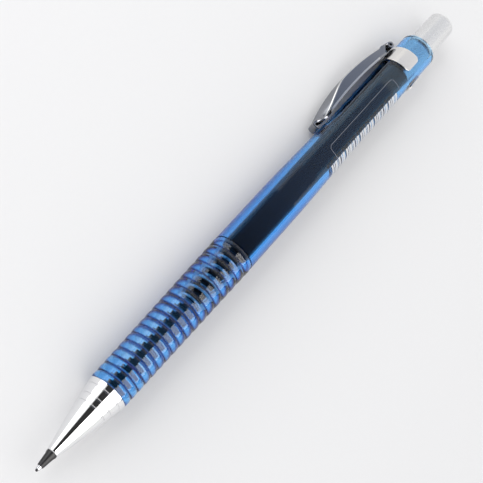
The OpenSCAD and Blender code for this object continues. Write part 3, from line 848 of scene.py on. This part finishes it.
class PENCIL_OT_clip(Operator):
    """Bends the pocket clip from sheet, with its flanges, folded front and rolled rear end"""
    bl_idname = "pencil.clip"
    bl_label = "Clip"

    def execute(self, context):
        sizes = context.scene.pencil_clip
        barrel = context.scene.pencil_barrel
        shades = context.scene.pencil_colours
        x_fold = rear("clip_band") + sizes.sheet - sizes.length
        x_roll = rear("clip_band") - sizes.sheet
        middle, half = (x_fold + x_roll) / 2, (x_roll - x_fold) / 2
        arch, top = sizes.arch, barrel.tail / 2 + sizes.rise
        centre = Vector((middle, 0.0, top - arch))
        spread = math.asin(half / arch)
        rest = barrel.tail / 2 + sizes.band_t + 0.01 * MM + sizes.gap
        under = barrel.tail / 2 + sizes.under_rise
        drop = under - rest
        under_r = (half * half + drop * drop) / (2 * drop)
        offset = under - under_r - centre.z
        steps, depth = 48, 1.0 * MM
        wide, shares = sizes.front_w / 2, (0.25, 0.5, 0.75, 1.0)

        def way(turn):
            return Vector((math.sin(turn), 0.0, math.cos(turn)))

        def turn_of(place):
            return math.atan2(place.x - centre.x, place.z - centre.z)

        def reach(place):
            return math.hypot(place.x - centre.x, place.z - centre.z)

        # Half of a section runs from the brim up the flange and across the web to its middle
        first = centre + arch * way(-spread)
        low = -depth * way(-spread)
        half_web = [first + Vector((0.0, -wide * share_out, 0.0)) for share_out in (1.0, 0.75, 0.5, 0.25)]
        half_flange = [first + low - Vector((0.0, wide + out, 0.0)) for out in (0.5 * depth, 0.0)]
        near = half_flange + half_web
        far = [Vector((p.x, -p.y, p.z)) for p in reversed(near)]
        points = near + [first] + far
        clip = begin("pocket_clip", points[0])
        streak = (0.3, 2.0, 2.0)
        dark = metal("clip dark chrome", shades.clip, 0.14, streak, 2400.0, 0.85, 1e-6)
        # Painted highlight: a brighter metal for the bend and the brim
        bright = metal("clip painted highlight", shades.clip_painted_highlight, 0.18, streak, 2400.0, 0.9)
        clip.data.materials.append(dark)
        clip.data.materials.append(bright)
        draw(points)
        bpy.ops.mesh.select_all(action="SELECT")
        bpy.ops.mesh.spin(steps=steps, angle=2 * spread, center=centre, axis=(0, -1, 0))
        merge_doubles()

        # Points of each section, by what they belong to
        sections = [
            {"flange": [], "brim": [[], []], "web": [[], [], [], []], "all": []} for i in range(steps + 1)
        ]
        mesh = bmesh.from_edit_mesh(clip.data)
        for vertex in mesh.verts:
            section = sections[round((turn_of(vertex.co) + spread) / (2 * spread) * steps)]
            section["all"].append(vertex.index)
            out = abs(vertex.co.y) / wide
            if reach(vertex.co) < arch - 0.5 * depth:
                section["flange"].append(vertex.index)
                if out > 1.05:
                    section["brim"][vertex.co.y > 0].append(vertex.index)
            elif out > 0.1:
                section["web"][round(out * 4) - 1].append(vertex.index)

        # The bend between web and flange starts at the lower edge behind the lip and rises to the top
        for i, section in enumerate(sections):
            turn = blend(-spread, spread, i / steps)
            x = (centre + arch * way(turn)).x
            lower = offset * math.cos(turn) + math.sqrt(under_r ** 2 - (offset * math.sin(turn)) ** 2)
            whole = (arch - lower) * ease((x - x_fold - 0.2 * MM) / sizes.lip)
            whole *= 1 - ease((x - x_roll + sizes.flange_end + sizes.flange_fade) / sizes.flange_fade)
            dome = whole * (1 - ease((x - x_fold - sizes.lip) / sizes.crease_run))
            brim = sizes.brim * ease((x - x_fold - sizes.lip) / (3 * MM))
            brim *= 1 - ease((x - x_roll + 5 * MM) / (3 * MM))
            pick_points(clip, section["flange"])
            bpy.ops.transform.translate(value=(depth - whole) * way(turn))
            for share_out, web in zip(shares, section["web"]):
                pick_points(clip, web)
                bpy.ops.transform.translate(value=-dome * share_out ** 1.25 * way(turn))
            pick_points(clip, section["all"])
            widen = blend(1.0, sizes.rear_w / sizes.front_w, (x - x_fold) / sizes.length)
            bpy.ops.transform.resize(value=(1.0, widen, 1.0), center_override=(0.0, 0.0, 0.0))
            for sign, edge in zip((-1, 1), section["brim"]):
                pick_points(clip, edge)
                bpy.ops.transform.translate(value=(0.0, sign * (brim - 0.5 * depth * widen), 0.0))

        # Painted highlight: the brim and the bend get the brighter metal, which stands in for the light line that
        # they catch
        clip.active_material_index = 1
        pick_points(clip, [number for section in sections[8:-8] for number in section["flange"]])
        bpy.ops.object.material_slot_assign()
        pick_points(clip, [number for section in sections for number in section["web"][-1]])
        bpy.ops.mesh.mark_seam()
        bpy.ops.mesh.select_all(action="SELECT")
        bpy.ops.mesh.remove_doubles(threshold=0.03 * MM)
        low_x, high_x = x_fold + sizes.lip + 0.8 * MM, x_roll - sizes.flange_end - sizes.flange_fade
        pick_edges(clip, lambda edge: edge.seam and all(low_x < vertex.co.x < high_x for vertex in edge.verts))
        bpy.ops.mesh.bevel(offset=sizes.bend, offset_type="WIDTH", segments=3, affect="EDGES", material=1)

        # The front is folded under, and the rear end is rolled over
        x_taper = front("barrel") + barrel.grip_len + barrel.taper_start
        level = blend(barrel.shoulder, barrel.tail, ease((x_fold - x_taper) / barrel.taper_len)) / 2 + sizes.gap
        fold = (first.z - level) / (1 + math.cos(spread))
        pick(clip, lambda p: turn_of(p) < -spread * (1 - 0.3 / steps))
        bpy.ops.mesh.spin(
            steps=12, angle=math.pi - spread, center=first - fold * way(-spread), axis=(0, 1, 0),
        )
        bpy.ops.mesh.extrude_edges_move(TRANSFORM_OT_translate={"value": (sizes.lip, 0.0, 0.0)})
        nose = x_fold + fold * math.sin(spread)
        pick(clip, lambda p: p.x < nose)
        bpy.ops.transform.resize(value=(sizes.flat, 1.0, 1.0), center_override=(nose, 0.0, 0.0))
        last = centre + arch * way(spread)
        roll = (last.z - rest) / (1 + math.cos(spread))
        pick(clip, lambda p: turn_of(p) > spread * (1 - 0.3 / steps) and reach(p) > arch - 0.01 * MM)
        bpy.ops.mesh.spin(
            steps=16, angle=math.radians(290), center=last - roll * way(spread), axis=(0, -1, 0),
        )
        face_out()
        mesh = bmesh.from_edit_mesh(clip.data)
        highest = max(mesh.faces, key=lambda face: face.calc_center_median().z)
        if highest.normal.z < 0:
            bpy.ops.mesh.flip_normals()
        close()
        modify(clip, "SOLIDIFY", thickness=sizes.sheet, offset=-1.0)
        round_edges(clip, 0.1 * MM, 3, 40)
        clip.rotation_euler = (-CLIP_TURN, 0.0, 0.0)
        clip.location = (0.0, AXIS_Y, AXIS_Z)
        settle(clip, None, "clip", ["clip_arm"], 40)
        return {"FINISHED"}


class PENCIL_OT_band(Operator):
    """Bends the open band that holds the clip from a strip with round corners"""
    bl_idname = "pencil.band"
    bl_label = "Band"

    def execute(self, context):
        sizes = context.scene.pencil_clip
        barrel = context.scene.pencil_barrel
        shades = context.scene.pencil_colours
        inner = barrel.tail / 2 + 0.01 * MM
        sweep = math.tau - sizes.band_gap
        band = flat_sheet("clip_ring", inner * sweep, rear("clip_band") - front("clip_band"))
        round_sheet(sizes.band_round)
        middle = CLIP_TURN + sizes.band_turn + math.pi
        wrap(band, sweep, inner, middle, (front("clip_band") + rear("clip_band")) / 2, 90)
        modify(band, "SOLIDIFY", thickness=sizes.band_t, offset=1.0, use_even_offset=True)
        round_edges(band, 0.09 * MM, 3)
        satin = metal("band satin", shades.band, 0.2, (0.25, 2.0, 2.0), 4000.0, 0.92, 1e-6)
        settle(band, satin, "barrel_body", ["clip_band"])
        return {"FINISHED"}


def flat_sheet(name, wide, deep):
    """Adds a flat sheet, wide along X and deep along Z, open for editing."""
    bpy.ops.object.select_all(action="DESELECT")
    bpy.ops.mesh.primitive_plane_add(size=1.0, location=(0, 0, 0), rotation=(math.pi / 2, 0, 0))
    sheet = bpy.context.object
    sheet.name = sheet.data.name = name
    bpy.ops.object.transform_apply(location=True, rotation=True, scale=True)
    bpy.ops.object.mode_set(mode="EDIT")
    bpy.ops.mesh.select_all(action="SELECT")
    bpy.ops.transform.resize(value=(wide, 1.0, deep), center_override=(0, 0, 0))
    return sheet


def round_sheet(size):
    """Rounds the corners of the flat sheet that is open for editing."""
    bpy.ops.mesh.select_mode(type="VERT")
    bpy.ops.mesh.select_all(action="SELECT")
    bpy.ops.mesh.bevel(offset=size, offset_type="OFFSET", segments=8, affect="VERTICES")


def wrap(sheet, sweep, r, middle, x, cuts):
    """Cuts a flat sheet across, bends it round the pencil and puts its middle at a turn and place."""
    wide = r * sweep
    for i in range(1, cuts):
        bpy.ops.mesh.select_all(action="SELECT")
        bpy.ops.mesh.bisect(plane_co=(wide * (i / cuts - 0.5), 0, 0), plane_no=(1, 0, 0))
    close()
    modify(sheet, "SIMPLE_DEFORM", deform_method="BEND", deform_axis="Z", angle=sweep)
    out = Vector((0.0, math.sin(middle), math.cos(middle)))
    across = Vector((0.0, -math.cos(middle), math.sin(middle)))
    corner = on_axis(x, 0) + r * out
    sheet.matrix_world = Matrix((
        (across.x, -out.x, 1.0, corner.x),
        (across.y, -out.y, 0.0, corner.y),
        (across.z, -out.z, 0.0, corner.z),
        (0.0, 0.0, 0.0, 1.0),
    ))
    only(sheet)
    bpy.ops.object.transform_apply(location=True, rotation=True, scale=True)
    bpy.ops.object.mode_set(mode="EDIT")
    merge_doubles()
    # The outer side of the sheet faces away from the pencil
    bpy.ops.mesh.normals_make_consistent(inside=False)
    mesh = bmesh.from_edit_mesh(sheet.data)
    mesh.faces.ensure_lookup_table()
    face = mesh.faces[0]
    centre = face.calc_center_median()
    if face.normal.dot(centre - on_axis(centre.x, 0)) < 0:
        bpy.ops.mesh.flip_normals()
    close()


class PENCIL_OT_print(Operator):
    """Lays a plain pattern of printed bars and a thin frame line on the barrel"""
    bl_idname = "pencil.print"
    bl_label = "Print"

    def lay(self, film, sizes, ink):
        """Presses a bent film onto the barrel and gives it its thickness."""
        barrel = bpy.data.objects["blue_barrel"]
        modify(
            film, "SHRINKWRAP", target=barrel, wrap_method="NEAREST_SURFACEPOINT",
            wrap_mode="OUTSIDE_SURFACE", offset=0.012 * MM,
        )
        modify(film, "SOLIDIFY", thickness=sizes.film, offset=1.0)
        settle(film, ink, "barrel_body")

    def execute(self, context):
        sizes = context.scene.pencil_print
        barrel = context.scene.pencil_barrel
        shades = context.scene.pencil_colours
        ink = plastic("white ink", shades.ink, 0.4, 1e-6, 4000.0)
        r = barrel.tail / 2 + 0.3 * MM
        x0 = TIP + sizes.start
        sweep = sizes.bars_to - sizes.bars_from
        middle = CLIP_TURN - (sizes.bars_from + sizes.bars_to) / 2
        pattern = ((3, 1), (2, 1), (4, 1), (1, 1), (3, 2), (2, 1), (4, 3))
        bars, at, i = [], 0.0, 0
        while at < sizes.run:
            wide, gap = (modules * sizes.module for modules in pattern[i % len(pattern)])
            bar = flat_sheet(f"bar_{i}", r * sweep, wide)
            wrap(bar, sweep, r, middle, x0 + at + wide / 2, 24)
            bars.append(bar)
            at, i = at + wide + gap, i + 1
        join(*bars)
        bars[0].name = bars[0].data.name = "print_bars"
        self.lay(bars[0], sizes, ink)

        sweep = sizes.frame_to - sizes.frame_from
        middle = CLIP_TURN - (sizes.frame_from + sizes.frame_to) / 2
        deep = sizes.frame_run
        line = flat_sheet("print_frame", r * sweep, deep)
        round_sheet(sizes.frame_round)
        bpy.ops.mesh.select_mode(type="FACE")
        bpy.ops.mesh.select_all(action="SELECT")
        bpy.ops.mesh.inset(thickness=sizes.line, depth=0.0, use_boundary=True)
        bpy.ops.mesh.delete(type="FACE")
        for k in range(1, 40):
            bpy.ops.mesh.select_all(action="SELECT")
            bpy.ops.mesh.bisect(plane_co=(0, 0, deep * (k / 40 - 0.5)), plane_no=(0, 0, 1))
        wrap(line, sweep, r, middle, TIP + sizes.frame_start + deep / 2, 48)
        self.lay(line, sizes, plastic("grey ink", shades.line, 0.4, 1e-6, 4000.0))
        return {"FINISHED"}


class PENCIL_OT_inner(Operator):
    """Gives the small solids inside the pencil their finishes"""
    bl_idname = "pencil.inner"
    bl_label = "Inner pieces"

    def execute(self, context):
        shades = context.scene.pencil_colours
        brass = metal("chuck brass", shades.brass, 0.24, (5.0, 0.6, 0.6), 2600.0, 0.82)
        for node in ("chuck", "chuck_ring", "chuck_bush"):
            dress(node, brass)
        dress("lead_retainer", plastic("retainer rubber", shades.rubber, 0.8, 4e-6))
        dress("spare_leads", metal("spare graphite", shades.graphite, 0.42, (0.3, 1.0, 1.0), 6000.0, 0.7))
        dress("cleaning_pin", metal("pin steel", shades.steel, 0.2))
        return {"FINISHED"}


class PENCIL_OT_stage(Operator):
    """Sets the table, the soft lamps, the cards of painted reflection round the pencil and the camera"""
    bl_idname = "pencil.stage"
    bl_label = "Stage"

    def table(self, shade):
        bpy.ops.object.select_all(action="DESELECT")
        bpy.ops.mesh.primitive_plane_add(size=3.0, location=(0.0, 0.0, -0.02 * MM))
        top = bpy.context.object
        top.name = "table"
        bpy.ops.object.transform_apply(location=True)
        finish = new_finish("table paper")
        grain = finish.noise(900.0, 3.0)
        finish.shade(
            Base_Color=finish.tint(grain, darker(shade, 0.985), tuple(shade)),
            Roughness=0.85 + 0.1 * grain,
            Normal=finish.bump(grain, 1e-6),
            Specular_IOR_Level=0.2,
        )
        top.data.materials.append(finish.owner)

    def painted_reflection_card(self, name, turns, places, lights, r, through):
        """Card of painted reflection bent over the pencil: it glows with its own colours, and only gloss mirrors
        it, on the inner pieces too where through is set.
        """
        (start, stop), (x0, x1) = turns, places
        card = begin(name, on_axis(x0, r, start))
        bpy.ops.mesh.extrude_vertices_move(TRANSFORM_OT_translate={"value": (x1 - x0, 0.0, 0.0)})
        bpy.ops.mesh.select_all(action="SELECT")
        bpy.ops.mesh.spin(steps=24, angle=stop - start, center=on_axis(0, 0), axis=(1, 0, 0))
        face_out()
        close()
        finish = new_finish(name)
        along = finish.node("ShaderNodeSeparateXYZ", {}, {0: finish.place()})
        amount = finish.node("ShaderNodeMapRange", {}, {"Value": along, "From Min": x0, "From Max": x1})
        brightest = max(max(light) for light in lights)
        finish.shade(
            Base_Color=(0.01, 0.01, 0.01),
            Roughness=1.0,
            Emission_Color=finish.tint(amount, *(darker(light, 1 / brightest) for light in lights)),
            Emission_Strength=brightest,
            Specular_IOR_Level=0.0,
        )
        card.data.materials.append(finish.owner)
        card.visible_camera = False
        card.visible_shadow = False
        card.visible_diffuse = False
        card.visible_transmission = through

    def cards(self, turn):
        """Dark and glowing cards of painted reflection, each over a span of degrees from the camera's side and of
        places.
        """
        dark, low = (0.03, 0.03, 0.03), (0.17, 0.20, 0.28)
        dim, pale = (0.30, 0.35, 0.46), (0.52, 0.57, 0.70)
        soft, bright = (2.4, 2.4, 2.4), (4.0, 3.9, 3.8)
        near, far = 0.45, 0.5
        # Painted reflections: the dark cards lay dark streaks in the chrome and the barrel, and the glowing cards
        # lay soft highlights on them
        for name, span, places, lights, r in (
            ("dark_reflection_strip", (-22, 22), (-0.35, 0.06), (dark, dark), far),
            ("wide_dark_reflection", (-28, 44), (0.06, 0.2), (dark, dark), far),
            ("grey_side_reflection", (-90, -28), (0.06, 0.2), (low, low), far),
            ("dark_reflection_arch", (-90, 70), (0.2, 0.29), (dark, dim), far),
            ("rear_reflection_arch", (-60, 42), (0.29, 0.41), (dim, pale), far),
            ("left_highlight_card", (30, 85), (-0.25, 0.2), (soft, soft), near),
            ("right_highlight_card", (-80, -16), (-0.25, 0.2), (bright, bright), near),
        ):
            turns = [turn + math.radians(degrees) for degrees in span]
            self.painted_reflection_card(name, turns, places, lights, r, r == far)

    def lamp(self, name, spot, aim, size, power):
        bpy.ops.object.select_all(action="DESELECT")
        bpy.ops.object.light_add(type="AREA", location=spot)
        lamp = bpy.context.object
        lamp.name = name
        lamp.data.size = size
        lamp.data.energy = power
        lamp.visible_glossy = False
        lamp.visible_transmission = False
        lamp.rotation_euler = (aim - Vector(spot)).to_track_quat("-Z", "Y").to_euler()

    def sky(self, ambient):
        """Even light that shows white in the picture, in metal and through the barrel."""
        world = bpy.data.worlds.new("studio")
        bpy.context.scene.world = world
        sky = Finish(world)
        rays = ("Camera", "Glossy", "Transmission")
        path = [sky.node("ShaderNodeLightPath", out=f"Is {ray} Ray") for ray in rays]
        seen = sky.node("ShaderNodeMath", {"operation": "MINIMUM"}, {0: path[0] + path[1] + path[2], 1: 1.0})
        back = sky.tree.nodes["Background"]
        sky.feed(back.inputs["Strength"], ambient + (1.0 - ambient) * seen)
        back.inputs["Color"].default_value = (1.0, 1.0, 1.0, 1.0)

    def execute(self, context):
        stage = context.scene.pencil_stage
        shades = context.scene.pencil_colours
        context.scene.view_settings.view_transform = "Standard"
        aim = on_axis(TIP + stage.aim, 0)
        turn = CLIP_TURN - stage.clip_side
        back = Vector((
            -math.sin(stage.lean), math.cos(stage.lean) * math.sin(turn), math.cos(stage.lean) * math.cos(turn),
        ))
        along = (Vector((1, 0, 0)) - back * back.x).normalized()
        across = back.cross(along)
        right = math.cos(stage.slope) * along - math.sin(stage.slope) * across
        up = math.sin(stage.slope) * along + math.cos(stage.slope) * across
        spot = aim + stage.aside * across + stage.distance * back
        bpy.ops.object.camera_add()
        camera = context.object
        camera.matrix_world = Matrix((
            (right.x, up.x, back.x, spot.x),
            (right.y, up.y, back.y, spot.y),
            (right.z, up.z, back.z, spot.z),
            (0.0, 0.0, 0.0, 1.0),
        ))
        camera.data.lens = stage.lens
        camera.data.sensor_width = 36.0
        camera.data.clip_start = 0.01
        context.scene.camera = camera
        self.table(shades.floor)
        self.cards(turn)
        self.lamp("key", (-0.10, 0.70, 0.42), aim, 0.6, stage.key)
        self.lamp("fill", (0.25, -0.5, 0.7), aim, 0.8, stage.fill)
        self.sky(stage.ambient)
        return {"FINISHED"}


class PENCIL_PT_panel(Panel):
    """Lists the steps that make the pencil's pieces"""
    bl_idname = "PENCIL_PT_panel"
    bl_label = "Mechanical Pencil"
    bl_space_type = "VIEW_3D"
    bl_region_type = "UI"
    bl_category = "Pencil"

    def draw(self, context):
        for step in STEPS:
            self.layout.operator(step.bl_idname)


SIZES = {
    "pencil_nose": NoseSizes,
    "pencil_barrel": BarrelSizes,
    "pencil_feed": FeedSizes,
    "pencil_button": ButtonSizes,
    "pencil_clip": ClipSizes,
    "pencil_print": PrintSizes,
    "pencil_colours": Colours,
    "pencil_stage": StageSettings,
}
STEPS = (
    PENCIL_OT_nose, PENCIL_OT_barrel, PENCIL_OT_feed, PENCIL_OT_button, PENCIL_OT_clip,
    PENCIL_OT_band, PENCIL_OT_print, PENCIL_OT_inner, PENCIL_OT_stage,
)
CLASSES = (*SIZES.values(), *STEPS, PENCIL_PT_panel)


def register():
    for made in CLASSES:
        bpy.utils.register_class(made)
    for name, group in SIZES.items():
        setattr(bpy.types.Scene, name, PointerProperty(type=group))


def unregister():
    for name in SIZES:
        delattr(bpy.types.Scene, name)
    for made in reversed(CLASSES):
        bpy.utils.unregister_class(made)


def main():
    register()
    bpy.ops.pencil.nose()
    bpy.ops.pencil.barrel()
    bpy.ops.pencil.feed()
    bpy.ops.pencil.button()
    bpy.ops.pencil.clip()
    bpy.ops.pencil.band()
    bpy.ops.pencil.print()
    bpy.ops.pencil.inner()
    bpy.ops.pencil.stage()


if __name__ == "__main__":
    main()
